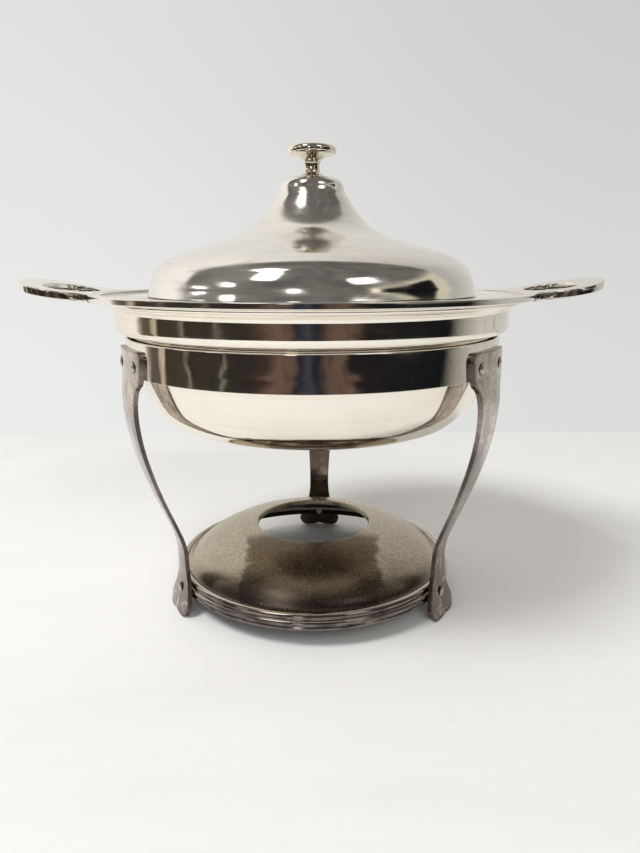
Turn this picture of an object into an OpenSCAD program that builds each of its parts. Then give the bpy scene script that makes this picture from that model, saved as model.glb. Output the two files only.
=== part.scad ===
// Round chafing dish: a lift-off bell lid, a food pan with two loop handles, a water pan and
// a three-legged stand that carries an open burner tray.
// Millimetres. The origin is on the floor at the dish's centre, +Z is up, and the handles lie
// along the X axis. The third leg is at the back, on the +Y side.

/* [View] */

// Piece to draw on its own, or all

/* [Stand ring] */

// Outer radius of the sheet band that carries the water pan
ring_r = 125; // [110:0.5:140]
// Height of the band's lower edge above the floor
ring_bottom_z = 163.1; // [150:0.1:180]
// Height of the band's upper edge above the floor
ring_top_z = 184.5; // [180:0.1:190]
// Sheet thickness of the band
ring_t = 1.8; // [1:0.1:3]

/* [Legs] */

// Turn of the stand about its axis, seen from above
stand_turn = -2.8; // [-20:0.2:20]
// Thickness of the strap each leg is bent from
leg_t = 2.6; // [1.5:0.1:4]
// Width of a leg where it is riveted to the band
leg_top_w = 52; // [30:1:70]
// Height of a leg's upper edge
leg_top_z = 179.5; // [170:0.5:186]
// Width of a leg at its waist, above the foot
leg_waist_w = 16; // [10:0.5:30]
// Width across a foot's two lobes
foot_w = 33.4; // [20:0.5:50]
// Radius at which the feet stand
foot_r = 104.8; // [90:0.1:130]
// Smallest radius of a leg's bend, level with the tray
leg_waist_r = 99; // [90:0.5:120]

/* [Rivets] */

// Head diameter of the rivets
rivet_d = 7.4; // [4:0.2:12]
// Height of the rivets that hold the legs to the band
leg_rivet_z = 170; // [166:0.5:186]
// Spacing of the two rivets in each leg
leg_rivet_gap = 31.6; // [16:0.2:44]
// Height of the rivets that hold the tray to the legs
tray_rivet_z = 15.3; // [10:0.1:30]

/* [Burner tray] */

// Radius of the tray's upright outer band
tray_r = 98.4; // [80:0.2:120]
// Height of the tray's lower edge above the floor
tray_bottom_z = 12.1; // [5:0.1:40]
// Height of the tray's upright outer band
tray_band_h = 5.9; // [3:0.1:12]
// Radius of the hole that takes the burner
burner_hole_r = 40.6; // [25:0.1:60]
// Height of the hole's edge above the floor
burner_hole_z = 45.4; // [30:0.1:70]
// Sheet thickness of the tray
tray_t = 1.4; // [0.8:0.1:3]

/* [Water pan] */

// Radius of the upright collar round the water pan
collar_r = 130; // [115:0.5:145]
// Height of the collar's lower edge above the floor
collar_bottom_z = 189.5; // [188:0.1:198]
// Height of the collar's upper edge above the floor
collar_top_z = 200.2; // [198:0.1:206]
// Radius of the rolled rim on top of the water pan
water_rim_r = 135.2; // [120:0.1:150]
// Height of the water pan's flat bottom above the floor
bowl_bottom_z = 118; // [105:0.5:160]
// Sheet thickness of the water pan
water_pan_t = 1.5; // [0.8:0.1:3]

/* [Food pan] */

// Outer radius of the flange
flange_r = 145; // [130:0.5:160]
// Height of the flange's underside above the floor
flange_z = 207.3; // [205:0.1:216]
// Thickness of the raised border round the flange
border_t = 3.6; // [2:0.1:6]
// Width of the raised border
border_w = 7.2; // [4:0.1:14]
// Inner radius of the well at its mouth
well_r = 103; // [80:0.5:115]
// Depth of the well below the flange
well_depth = 62; // [30:1:80]
// Sheet thickness of the food pan
food_pan_t = 1.6; // [0.8:0.1:3]

/* [Handles] */

// Distance from the dish's axis to the middle of a loop
loop_x = 163; // [150:0.5:180]
// Loop's outer half size, away from the dish
loop_a = 30.3; // [20:0.1:45]
// Loop's outer half size, along the rim
loop_b = 45.2; // [30:0.1:60]
// Finger opening's half size, away from the dish
grip_a = 16.9; // [10:0.1:30]
// Finger opening's half size, along the rim
grip_b = 27.2; // [15:0.1:45]
// Rise of a loop's outer end above the flange
loop_rise = 9.4; // [0:0.1:20]
// Thickness of a loop
loop_t = 5; // [3:0.1:7]

/* [Lid] */

// Radius of the lid at its lower edge
lid_r = 109; // [95:0.1:120]
// Height of the lid's flat crown above the floor
lid_top_z = 284.3; // [260:0.1:310]
// Sheet thickness of the lid
lid_t = 1.4; // [0.8:0.1:3]

/* [Knob] */

// Radius of the knob's disc
knob_r = 16.2; // [10:0.1:25]
// Height of the knob above the lid's crown
knob_h = 19.8; // [12:0.1:35]
// Radius of the knob's neck
knob_neck_r = 5; // [3.5:0.1:8]

/* [Hidden] */

$fn = 96;

silver = [0.80, 0.78, 0.74];
tarnish = [0.52, 0.45, 0.38];

leg_azimuths = [210, 330, 90];
leg_face_r = ring_r + leg_t;
rivet_shank_r = rivet_d * 0.27;
rivet_head_h = 1.3;
rivet_tail_h = 1.0;
leg_rivet_turn = asin(leg_rivet_gap / 2 / ring_r);
leg_seat_r = tray_r + leg_t + 0.9;

burner_collar_h = 3.2;
tray_bead_r = 2.3;
tray_bead_x = tray_r - 3.7;
tray_bead_z = tray_bottom_z + tray_band_h + tray_bead_r - 0.4;
tray_seat_r = tray_bead_x - tray_bead_r;

rest_gap = 0.3;
water_rim_wire_r = 1.35;
water_wire_at = [water_rim_r - 0.5, flange_z - rest_gap - water_rim_wire_r];
water_sheet_end = water_wire_at - (water_rim_wire_r + 0.03) * [1, 1] / sqrt(2)
                  + water_pan_t / 2 * [1, -1] / sqrt(2);
ledge_z = flange_z + food_pan_t;
border_in_r = flange_r - border_w;
border_top_z = flange_z + border_t;
well_bottom_z = flange_z - well_depth;

lid_seat_z = ledge_z + rest_gap;
lid_lip_r = well_r - 0.8;
lid_lip_h = 6;
lid_hole_r = 2.25;
screw_r = 2;
washer_t = 1;
knob_socket = 9;

// Clamped quadratic B-spline of a control polygon, n steps for each corner.
function smooth(c, n = 8) =
    let (m = len(c))
    concat([c[0]],
           [for (i = [1 : m - 2])
                let (a = i == 1 ? c[0] : (c[i - 1] + c[i]) / 2,
                     b = i == m - 2 ? c[m - 1] : (c[i] + c[i + 1]) / 2)
                for (k = [1 : n])
                    let (t = k / n)
                    pow(1 - t, 2) * a + 2 * t * (1 - t) * c[i] + t * t * b]);

// A path moved sideways by d, to the right of its direction of travel.
function beside(p, d) =
    [for (i = [0 : len(p) - 1])
        let (s = p[min(i + 1, len(p) - 1)] - p[max(i - 1, 0)])
        p[i] + d * [s[1], -s[0]] / norm(s)];

function reversed(p) = [for (i = [len(p) - 1 : -1 : 0]) p[i]];

// Closed outline of a sheet of thickness t on the right of a path.
function sheet(p, t) = concat(p, reversed(beside(p, t)));

// Arc points about c, from angle a0 to a1.
function arc(c, r, a0, a1, n = 12) =
    [for (i = [0 : n]) let (a = a0 + (a1 - a0) * i / n) c + r * [cos(a), sin(a)]];

// Closed outline of a rectangle in profile with its corners rounded.
function rounded_bar(x0, y0, x1, y1, r) =
    concat(arc([x1 - r, y0 + r], r, -90, 0, 6), arc([x1 - r, y1 - r], r, 0, 90, 6),
           arc([x0 + r, y1 - r], r, 90, 180, 6), arc([x0 + r, y0 + r], r, 180, 270, 6));

// ---- stand ----

// Middle line of a leg's strap in profile, from its top edge down to the foot.
leg_top_r = leg_face_r - leg_t / 2;
leg_line = smooth([[leg_top_r, leg_top_z + 4], [leg_top_r, 173.5], [leg_top_r, 161.1],
                   [leg_top_r + 1.8, 147.5], [leg_top_r + 0.6, 131.5],
                   [leg_top_r - 2.2, 115.5], [leg_top_r - 7.4, 97.5],
                   [leg_top_r - 14.1, 79.5], [leg_waist_r + 6.4, 63.5],
                   [leg_waist_r + 0.3, 47.5], [leg_waist_r - 0.2, 33.5],
                   [leg_waist_r + 0.2, 19.5], [foot_r - 2, 6.5], [foot_r + 0.4, -3]], 6);

// Half of a leg's outline seen from the front, from the crown down to the foot's notch.
leg_half = concat([[0, leg_top_z]],
                  arc([leg_top_w / 2 - 4, leg_top_z - 4], 4, 90, 0, 6),
                  smooth([[leg_top_w / 2, leg_top_z - 8], [leg_top_w / 2, 160.5],
                          [18.6, 157.5], [16.4, 147.5], [14.6, 133.5], [14, 117.5],
                          [13, 99.5], [10.6, 81.5], [8.8, 65.5],
                          [leg_waist_w / 2 - 0.1, 49.5], [leg_waist_w / 2, 33.5],
                          [leg_waist_w / 2 + 2.6, 23], [foot_w / 2 - 2.4, 14],
                          [foot_w / 2 + 1.2, 7], [foot_w / 2 - 0.4, -1.2], [8, -0.6],
                          [4.4, 0.6], [2, 1.4], [0, 1.4]], 6));

module leg(azimuth) {
    rotate([0, 0, azimuth + stand_turn])
        difference() {
            intersection() {
                rotate([0, 0, -20])
                    rotate_extrude(angle = 40)
                        polygon(concat(beside(leg_line, -leg_t / 2),
                                       reversed(beside(leg_line, leg_t / 2))));
                translate([60, 0, 0])
                    rotate([90, 0, 90])
                        linear_extrude(height = 80)
                            polygon([for (p = concat(leg_half, reversed([for (q = leg_half)
                                                if (q[0] > 0) [-q[0], q[1]]])))
                                        [p[0], max(p[1], 0)]]);
            }
            for (s = [-1, 1])
                rotate([0, 0, s * leg_rivet_turn])
                    translate([ring_r - 10, 0, leg_rivet_z])
                        rotate([0, 90, 0])
                            cylinder(r = rivet_shank_r, h = 20);
            translate([tray_r - 10, 0, tray_rivet_z])
                rotate([0, 90, 0])
                    cylinder(r = rivet_shank_r, h = 20);
            translate([leg_seat_r, 0, tray_rivet_z])
                rotate([0, 90, 0])
                    cylinder(r = rivet_d / 2 + 0.05, h = 20);
        }
}

module leg_left()
    color(tarnish) leg(leg_azimuths[0]);

module leg_right()
    color(tarnish) leg(leg_azimuths[1]);

module leg_rear()
    color(tarnish) leg(leg_azimuths[2]);

module stand_ring()
    color(silver)
        difference() {
            rotate_extrude()
                polygon(concat([[ring_r - ring_t, ring_bottom_z], [ring_r, ring_bottom_z]],
                               arc([ring_r - ring_t / 2, ring_top_z - ring_t / 2],
                                   ring_t / 2, 0, 180, 10)));
            for (a = leg_azimuths)
                for (s = [-1, 1])
                    rotate([0, 0, a + stand_turn + s * leg_rivet_turn])
                        translate([ring_r - 10, 0, leg_rivet_z])
                            rotate([0, 90, 0])
                                cylinder(r = rivet_shank_r, h = 20);
        }

// A rivet lying along +X, its head's seat at x = out and its tail's seat at x = in.
module rivet(in, out, tail_r) {
    cap_r = (pow(rivet_d / 2, 2) + pow(rivet_head_h, 2)) / (2 * rivet_head_h);
    rotate([0, 90, 0])
        rotate_extrude()
            polygon(concat([[0, in - rivet_tail_h], [tail_r, in - rivet_tail_h],
                            [tail_r, in], [rivet_shank_r, in],
                            [rivet_shank_r, out], [rivet_d / 2, out]],
                           arc([0, out + rivet_head_h - cap_r], cap_r,
                               90 - asin(rivet_d / 2 / cap_r), 90, 10)));
}

module leg_rivets()
    color(silver)
        for (a = leg_azimuths)
            for (s = [-1, 1])
                rotate([0, 0, a + stand_turn + s * leg_rivet_turn])
                    translate([0, 0, leg_rivet_z])
                        rivet(ring_r - ring_t - 0.06, leg_face_r + 0.02, 3);

module tray_rivets()
    color(silver)
        for (a = leg_azimuths)
            rotate([0, 0, a + stand_turn])
                translate([0, 0, tray_rivet_z])
                    rivet(tray_r - tray_t * 1.5 - 0.06, leg_seat_r + 0.02, 2.4);

// The tray's dome, from the hole's turned-down edge out to the foot of the bead.
module burner_tray()
    color(tarnish)
        rotate_extrude()
            polygon(sheet(reversed(concat(
                [[burner_hole_r, burner_hole_z - burner_collar_h]],
                smooth([[burner_hole_r, burner_hole_z - 0.8], [burner_hole_r, burner_hole_z],
                        [burner_hole_r + 3, burner_hole_z], [60, 41.9], [74, 35.3], [84.6, 28.1],
                        [tray_seat_r - 2, tray_bead_z + 1.2],
                        [tray_seat_r, tray_bead_z + 1.2]], 6))), -tray_t));

module tray_rim()
    color(silver)
        difference() {
            rotate_extrude()
                polygon(concat([[tray_r - tray_t * 1.5, tray_bottom_z],
                                [tray_r, tray_bottom_z]],
                               arc([tray_r - 0.9, tray_bottom_z + tray_band_h - 0.9],
                                   0.9, 0, 90, 5),
                               arc([tray_bead_x, tray_bead_z], tray_bead_r, -20, 180, 16),
                               [[tray_seat_r, tray_bead_z - tray_bead_r],
                                [tray_r - tray_t * 1.5, tray_bead_z - tray_bead_r]]));
            for (a = leg_azimuths)
                rotate([0, 0, a + stand_turn])
                    translate([tray_r - 10, 0, tray_rivet_z])
                        rotate([0, 90, 0])
                            cylinder(r = rivet_shank_r, h = 20);
        }

// ---- water pan ----

module water_pan()
    color(silver)
        rotate_extrude()
            polygon(sheet(concat(
                [[0, bowl_bottom_z]],
                smooth([[30, bowl_bottom_z], [50, bowl_bottom_z], [92.6, bowl_bottom_z + 4.7],
                        [108.4, bowl_bottom_z + 16.8], [114.1, bowl_bottom_z + 31],
                        [119.6, 173.5], [121.1, 181.5], [121.2, 185.7]], 8),
                smooth([[123.4, 186.4], [127.4, 186.7], [collar_r, collar_bottom_z - 0.4],
                        [collar_r, collar_bottom_z + 3]], 6),
                smooth([[collar_r, collar_top_z - 1], [collar_r, collar_top_z + 1.6],
                        water_sheet_end - [1.7, 1.7], water_sheet_end], 6)),
                -water_pan_t));

module water_pan_rim()
    color(silver)
        rotate_extrude()
            translate(water_wire_at)
                circle(r = water_rim_wire_r);

// ---- food pan ----

// The well and the thin ledge round its mouth.
module food_pan()
    color(silver)
        rotate_extrude()
            polygon(sheet(concat(
                [[0, well_bottom_z]],
                smooth([[well_r - 24, well_bottom_z], [well_r - 7, well_bottom_z + 1],
                        [well_r - 3, well_bottom_z + 15], [well_r + food_pan_t, 197.5]], 8),
                smooth([[well_r + food_pan_t, flange_z - 6], [well_r + food_pan_t, flange_z],
                        [well_r + food_pan_t + 3, flange_z]], 5),
                [[border_in_r - 0.05, flange_z]]),
                -food_pan_t));

// The raised border that stiffens the flange's edge.
module food_pan_border()
    color(silver)
        rotate_extrude()
            polygon(rounded_bar(border_in_r, flange_z, flange_r, border_top_z, 0.6));

// Top surface of a loop handle, at a distance x from the dish's axis.
loop_start_x = flange_r - 8;
loop_end_x = loop_x + loop_a;
function loop_top(x) =
    let (d = max(0, x - loop_start_x), span = loop_end_x - loop_start_x)
    border_top_z + loop_rise * (0.43 * d / span + 0.57 * pow(d / span, 2));

// Half of a loop's outline in plan, blended into the rim, for y > 0.
blend_turn = 19;
blend_mid = [142.6, 33.8] * flange_r / 145;

module loop_plan() {
    half = concat(
        smooth([flange_r * [cos(blend_turn), sin(blend_turn)],
                blend_mid,
                [loop_x + loop_a * cos(120), loop_b * sin(120)]], 10),
        [for (t = [116 : -4 : 0]) [loop_x + loop_a * cos(t), loop_b * sin(t)]]);
    difference() {
        polygon(concat([[flange_r * cos(blend_turn) - 3, 0]], half,
                       reversed([for (p = half) if (p[1] > 0.01) [p[0], -p[1]]])));
        polygon([for (t = [0 : 4 : 356]) [loop_x + grip_a * cos(t), grip_b * sin(t)]]);
    }
}

module handle() {
    steps = 14;
    top = [for (i = [0 : steps])
        let (x = loop_start_x - 2 + (loop_end_x + 4 - loop_start_x) * i / steps)
        [x, loop_top(x)]];
    difference() {
        intersection() {
            translate([0, 0, flange_z - 5])
                linear_extrude(height = 40)
                    loop_plan();
            rotate([90, 0, 0])
                translate([0, 0, -60])
                    linear_extrude(height = 120)
                        polygon(concat(top, reversed([for (p = top) p - [0, loop_t]])));
        }
        translate([0, 0, flange_z - 10])
            cylinder(r = flange_r, h = 40, $fn = 180);
    }
}

module handle_right()
    color(silver) handle();

module handle_left()
    color(silver) mirror([1, 0, 0]) handle();

// ---- lid ----

module lid()
    color(silver)
        difference() {
            union() {
                rotate_extrude()
                    polygon(sheet(concat(
                        [[0, lid_top_z]],
                        smooth([[9.4, lid_top_z], [15.6, lid_top_z - 0.2],
                                [20.8, lid_top_z - 3.8], [21.6, lid_top_z - 9.4],
                                [25.4, lid_top_z - 15], [29, lid_top_z - 21],
                                [36, lid_top_z - 29.4], [47.5, lid_top_z - 37.2],
                                [69, lid_top_z - 43.2], [91, lid_top_z - 49.6],
                                [101.4, lid_top_z - 55.8], [105.6, lid_top_z - 62.6],
                                [107.3, lid_top_z - 67.8], [107.75, lid_top_z - 71.2],
                                [lid_r, lid_seat_z + 0.2]], 8),
                        [[lid_r, lid_seat_z]]),
                        lid_t));
                rotate_extrude()
                    polygon([[lid_lip_r - lid_t, lid_seat_z - lid_lip_h],
                             [lid_lip_r, lid_seat_z - lid_lip_h], [lid_lip_r, lid_seat_z],
                             [lid_r - 1.1, lid_seat_z], [lid_r - 1.1, lid_seat_z + lid_t],
                             [lid_lip_r - lid_t, lid_seat_z + lid_t]]);
            }
            translate([0, 0, lid_top_z - 10])
                cylinder(r = lid_hole_r, h = 20);
        }

module knob()
    color(silver)
        difference() {
            rotate_extrude()
                polygon(concat([[0, lid_top_z], [9, lid_top_z]],
                               smooth([[9, lid_top_z + 0.6], [6, lid_top_z + 1.6],
                                       [knob_neck_r, lid_top_z + 4],
                                       [knob_neck_r, lid_top_z + 8.4],
                                       [knob_neck_r + 2.2, lid_top_z + 11.4],
                                       [knob_r - 4.6, lid_top_z + 12.8],
                                       [knob_r, lid_top_z + 13.4],
                                       [knob_r, lid_top_z + 18],
                                       [knob_r - 4.5, lid_top_z + knob_h - 0.2],
                                       [knob_r - 10, lid_top_z + knob_h],
                                       [0, lid_top_z + knob_h]], 7)));
            translate([0, 0, lid_top_z - 1])
                cylinder(r = screw_r + 0.05, h = knob_socket + 1);
        }

module knob_washer()
    color(silver)
        translate([0, 0, lid_top_z - lid_t - washer_t])
            difference() {
                cylinder(r = 6.5, h = washer_t);
                translate([0, 0, -1])
                    cylinder(r = lid_hole_r, h = washer_t + 2);
            }

module knob_screw()
    color(tarnish)
        translate([0, 0, lid_top_z - lid_t - washer_t])
            difference() {
                rotate_extrude()
                    polygon(concat([[0, knob_socket + 1.6], [screw_r, knob_socket + 1.6],
                                    [screw_r, 0], [4, 0]],
                                   arc([0, 1.8], 4.39, -24.2, -90, 8)));
                translate([-5, -0.6, -4])
                    cube([10, 1.2, 2.6]);
            }

stand_ring();
leg_left();
leg_right();
leg_rear();
leg_rivets();
tray_rivets();
burner_tray();
tray_rim();
water_pan();
water_pan_rim();
food_pan();
food_pan_border();
handle_left();
handle_right();
lid();
knob();
knob_washer();
knob_screw();
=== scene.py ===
"""Silver-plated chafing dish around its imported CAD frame: turned and spun shells, riveted
strap legs and a tarnished burner tray, on white paper before a pale wall."""

import math

import bmesh
import bpy
from mathutils import Matrix, Vector


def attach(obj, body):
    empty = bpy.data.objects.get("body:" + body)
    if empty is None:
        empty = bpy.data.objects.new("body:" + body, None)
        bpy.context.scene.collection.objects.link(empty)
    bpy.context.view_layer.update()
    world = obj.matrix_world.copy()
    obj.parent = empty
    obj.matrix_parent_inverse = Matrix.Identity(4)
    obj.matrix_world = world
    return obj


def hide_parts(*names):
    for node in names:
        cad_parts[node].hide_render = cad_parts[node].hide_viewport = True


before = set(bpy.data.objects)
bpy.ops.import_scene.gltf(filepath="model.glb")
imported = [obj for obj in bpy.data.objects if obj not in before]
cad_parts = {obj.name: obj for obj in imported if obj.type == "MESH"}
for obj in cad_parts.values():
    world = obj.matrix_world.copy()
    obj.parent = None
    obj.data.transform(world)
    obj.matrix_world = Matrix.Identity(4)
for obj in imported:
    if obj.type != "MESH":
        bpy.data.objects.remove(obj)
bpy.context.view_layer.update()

MM = 0.001
TURN = 360  # points round a turned piece
FINE_TURN = 480  # points round a wide one with a bright edge
BEVEL_FROM = 50  # degrees between two faces, from which their edge is rounded


# ---------------------------------------------------------------- outlines, in millimetres
def smooth(ctrl, n):
    """Clamped quadratic B-spline of a control polygon, n steps to a span."""
    out = [tuple(ctrl[0])]
    last = len(ctrl) - 1
    for i in range(1, last):
        a = ctrl[0] if i == 1 else [(ctrl[i - 1][k] + ctrl[i][k]) / 2 for k in (0, 1)]
        b = ctrl[last] if i == last - 1 else [(ctrl[i][k] + ctrl[i + 1][k]) / 2 for k in (0, 1)]
        for s in range(1, n + 1):
            t = s / n
            start, mid, end = (1 - t) ** 2, 2 * t * (1 - t), t * t
            out.append(tuple(start * a[k] + mid * ctrl[i][k] + end * b[k] for k in (0, 1)))
    return out


def beside(path, d):
    """The path moved sideways by d, to the right of its direction of travel."""
    out = []
    for i, p in enumerate(path):
        a, b = path[max(i - 1, 0)], path[min(i + 1, len(path) - 1)]
        sx, sy = b[0] - a[0], b[1] - a[1]
        k = d / math.hypot(sx, sy)
        out.append((max(p[0] + sy * k, 0.0), p[1] - sx * k))
    return out


def sheet(path, t):
    """Closed outline of a sheet t thick, with the path as one face."""
    return path + beside(path, t)[::-1]


def arc(cx, cy, r, a0, a1, n):
    """Part of a circle from a0 to a1 degrees, in n steps."""
    turns = [math.radians(a0 + (a1 - a0) * i / n) for i in range(n + 1)]
    return [(cx + r * math.cos(t), cy + r * math.sin(t)) for t in turns]


def oval(cx, a, b, degrees):
    """A point of the ellipse round (cx, 0) with half axes a and b."""
    t = math.radians(degrees)
    return cx + a * math.cos(t), b * math.sin(t)


def rounded_bar(x0, y0, x1, y1, r):
    """Rectangle from (x0, y0) to (x1, y1) with corners of radius r."""
    return (
        arc(x1 - r, y0 + r, r, -90, 0, 8)
        + arc(x1 - r, y1 - r, r, 0, 90, 8)
        + arc(x0 + r, y1 - r, r, 90, 180, 8)
        + arc(x0 + r, y0 + r, r, 180, 270, 8)
    )


# Main dimensions, the same as the CAD's
CLEAR = 0.3  # between pieces that lift apart

# the stand's ring, its legs and rivets
RING_R, RING_T = 125.0, 1.8  # outer face and thickness
RING_Z0, RING_Z1 = 163.1, 184.5  # lower and upper edge
LEG_T, LEG_TOP_Z = 2.6, 179.5
FOOT_R, FOOT_W = 104.8, 33.4  # how far out a leg stands at the floor, and its width
WAIST_R, WAIST_W = 99.0, 16.0  # the same where it is narrowest
STAND_TURN = -2.8  # degrees that the stand is turned against the handles
RIVET_D, RIVET_HEAD = 7.4, 1.3  # width and height of a rivet's domed head
LEG_RIVET_Z, LEG_RIVET_GAP = 170.0, 31.6  # a leg's two upper rivets: height, and distance apart
TRAY_RIVET_Z = 15.3
TAIL_GAP, HEAD_GAP = 0.06, 0.02  # from a rivet's tail and head to the metal they sit on

# the burner tray
TRAY_R, TRAY_T = 98.4, 1.4  # outer face and thickness
TRAY_Z, TRAY_BAND = 12.1, 5.9  # underside, and height of the band over it
HOLE_R, HOLE_Z = 40.6, 45.4  # the burner's hole, and the dome's height at its edge
BAND_IN = TRAY_R - TRAY_T * 1.5  # inside of the tray's band
LEG_SEAT_R = TRAY_R + LEG_T + 0.9  # outer face of a leg where it is riveted to the tray

# the food pan and its handles
FLANGE_R, FLANGE_Z = 145.0, 207.3  # edge and underside
BORDER_W, BORDER_T = 7.2, 3.6  # width and height of the border round the flange
WELL_R, WELL_DEPTH, PAN_T = 103.0, 62.0, 1.6
LOOP_X = 163.0  # middle of a handle's oval
LOOP_A, LOOP_B = 30.3, 45.2  # its half axes
GRIP_A, GRIP_B = 16.9, 27.2  # those of its finger opening
LOOP_RISE, LOOP_T = 9.4, 5.0  # climb from the border to the outer end, and thickness

# the water pan and the wire that its edge is rolled round
BOWL_Z, WATER_T = 118.0, 1.5  # underside and thickness
COLLAR_R, COLLAR_Z0, COLLAR_Z1 = 130.0, 189.5, 200.2  # outer face, lower and upper end
WIRE_R = 1.35
WIRE_AT = (134.7, FLANGE_Z - CLEAR - WIRE_R)

# the lid and its knob
LID_R, LID_TOP, LID_T = 109.0, 284.3, 1.4
LID_SEAT = FLANGE_Z + PAN_T + CLEAR
KNOB_R, KNOB_H, KNOB_NECK = 16.2, 19.8, 5.0  # radius, height and radius of the neck


# ---------------------------------------------------------------- mesh makers
def link(name, bm, sharp=38, bevel=0.0, segments=2):
    """A smooth-shaded object, creased at edges over sharp degrees and with corners rounded by bevel mm."""
    me = bpy.data.meshes.new(name)
    bmesh.ops.recalc_face_normals(bm, faces=bm.faces)
    bm.to_mesh(me)
    bm.free()
    for p in me.polygons:
        p.use_smooth = True
    if sharp:
        me.set_sharp_from_angle(angle=math.radians(sharp))
    ob = bpy.data.objects.new(name, me)
    bpy.context.scene.collection.objects.link(ob)
    if bevel:
        m = ob.modifiers.new("edge", "BEVEL")
        m.width = bevel * MM
        m.segments = segments
        m.limit_method = "ANGLE"
        m.angle_limit = math.radians(BEVEL_FROM)
        m.harden_normals = True
    return ob


def circle(bm, r, z, n):
    """n vertices round the axis, or a single one on it."""
    turns = [2 * math.pi * k / n for k in range(n if r > 1e-6 else 1)]
    return [bm.verts.new((r * MM * math.cos(a), r * MM * math.sin(a), z * MM)) for a in turns]


def skin(bm, a, b):
    """Faces between two circles, either of which may be a single point."""
    n = max(len(a), len(b))
    for k in range(n if n > 1 else 0):
        k2 = (k + 1) % n
        if len(a) == 1:
            bm.faces.new((a[0], b[k2], b[k]))
        elif len(b) == 1:
            bm.faces.new((a[k], a[k2], b[0]))
        else:
            bm.faces.new((a[k], a[k2], b[k2], b[k]))


def lathe(name, outline, n=TURN, bevel=0.0):
    """A closed outline of (radius, height) turned about Z."""
    bm = bmesh.new()
    rings = [circle(bm, r, z, n) for r, z in outline]
    for a, b in zip(rings, rings[1:] + rings[:1]):
        skin(bm, a, b)
    bmesh.ops.remove_doubles(bm, verts=bm.verts, dist=1e-7)
    return link(name, bm, bevel=bevel)


def joined(bms):
    """One bmesh from several, which are freed."""
    whole = bmesh.new()
    for b in bms:
        me = bpy.data.meshes.new("tmp")
        b.to_mesh(me)
        whole.from_mesh(me)
        bpy.data.meshes.remove(me)
        b.free()
    return whole


# ---------------------------------------------------------------- node materials
class Nodes:
    """Short calls for a material's node tree."""

    def __init__(self, tree):
        self.tree = tree
        tree.nodes.clear()

    def put(self, kind, **values):
        node = self.tree.nodes.new(kind)
        for key, value in values.items():
            setattr(node, key, value)
        return node

    def join(self, src, dst):
        self.tree.links.new(src, dst)

    def feed(self, socket, value):
        if hasattr(value, "is_output"):
            self.join(value, socket)
        else:
            socket.default_value = value

    def math(self, op, a, b=0.0, c=0.0, clamp=False):
        node = self.put("ShaderNodeMath", operation=op, use_clamp=clamp)
        for i, v in enumerate((a, b, c)):
            self.feed(node.inputs[i], v)
        return node.outputs[0]

    def stretch(self, vector, factors):
        """The vector with its parts multiplied, which draws a texture out along an axis."""
        node = self.put("ShaderNodeVectorMath", operation="MULTIPLY")
        self.feed(node.inputs[0], vector)
        self.feed(node.inputs[1], factors)
        return node.outputs[0]

    def split(self, vector):
        node = self.put("ShaderNodeSeparateXYZ")
        self.join(vector, node.inputs[0])
        return node.outputs

    def radius(self, x, y):
        return self.math("SQRT", self.math("ADD", self.math("MULTIPLY", x, x), self.math("MULTIPLY", y, y)))

    def ramp(self, value, lo, hi, out_lo=0.0, out_hi=1.0):
        """Smooth step of value from lo to hi, between the two outputs."""
        node = self.put("ShaderNodeMapRange", interpolation_type="SMOOTHSTEP")
        for i, v in enumerate((value, lo, hi, out_lo, out_hi)):
            self.feed(node.inputs[i], v)
        return node.outputs[0]

    def mix(self, fac, a, b):
        node = self.put("ShaderNodeMix", data_type="RGBA")
        self.feed(node.inputs[0], fac)
        self.feed(node.inputs[6], a if hasattr(a, "is_output") else (*a, 1))
        self.feed(node.inputs[7], b if hasattr(b, "is_output") else (*b, 1))
        return node.outputs[2]

    def noise(self, vector, scale, detail, rough, distort=0.0):
        node = self.put("ShaderNodeTexNoise")
        self.feed(node.inputs["Vector"], vector)
        node.inputs["Scale"].default_value = scale
        node.inputs["Detail"].default_value = detail
        node.inputs["Roughness"].default_value = rough
        node.inputs["Distortion"].default_value = distort
        return node.outputs[0]

    def bump(self, height, strength, distance, normal=None):
        node = self.put("ShaderNodeBump")
        node.inputs["Strength"].default_value = strength
        node.inputs["Distance"].default_value = distance
        self.feed(node.inputs["Height"], height)
        if normal is not None:
            self.feed(node.inputs["Normal"], normal)
        return node.outputs[0]


def material(name, metallic):
    """A new material with its node calls, its shader and the place on the object in metres."""
    mat = bpy.data.materials.new(name)
    mat.use_nodes = True
    g = Nodes(mat.node_tree)
    out = g.put("ShaderNodeOutputMaterial")
    bsdf = g.put("ShaderNodeBsdfPrincipled")
    g.join(bsdf.outputs[0], out.inputs[0])
    bsdf.inputs["Metallic"].default_value = metallic
    place = g.put("ShaderNodeTexCoord").outputs["Object"]
    return mat, g, bsdf, place


def turned_lines(g, place, scale):
    """Noise that changes fast with distance from the axis and height and slowly round it, as the
    marks of a lathe do."""
    x, y, z = g.split(place)
    both = g.put("ShaderNodeCombineXYZ")
    g.join(g.math("MULTIPLY", g.radius(x, y), scale), both.inputs[0])
    g.join(g.math("MULTIPLY", z, scale), both.inputs[1])
    g.join(g.math("MULTIPLY", g.math("ARCTAN2", y, x), 0.35), both.inputs[2])
    return g.noise(both.outputs[0], 1.0, 4.0, 0.7)


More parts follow.
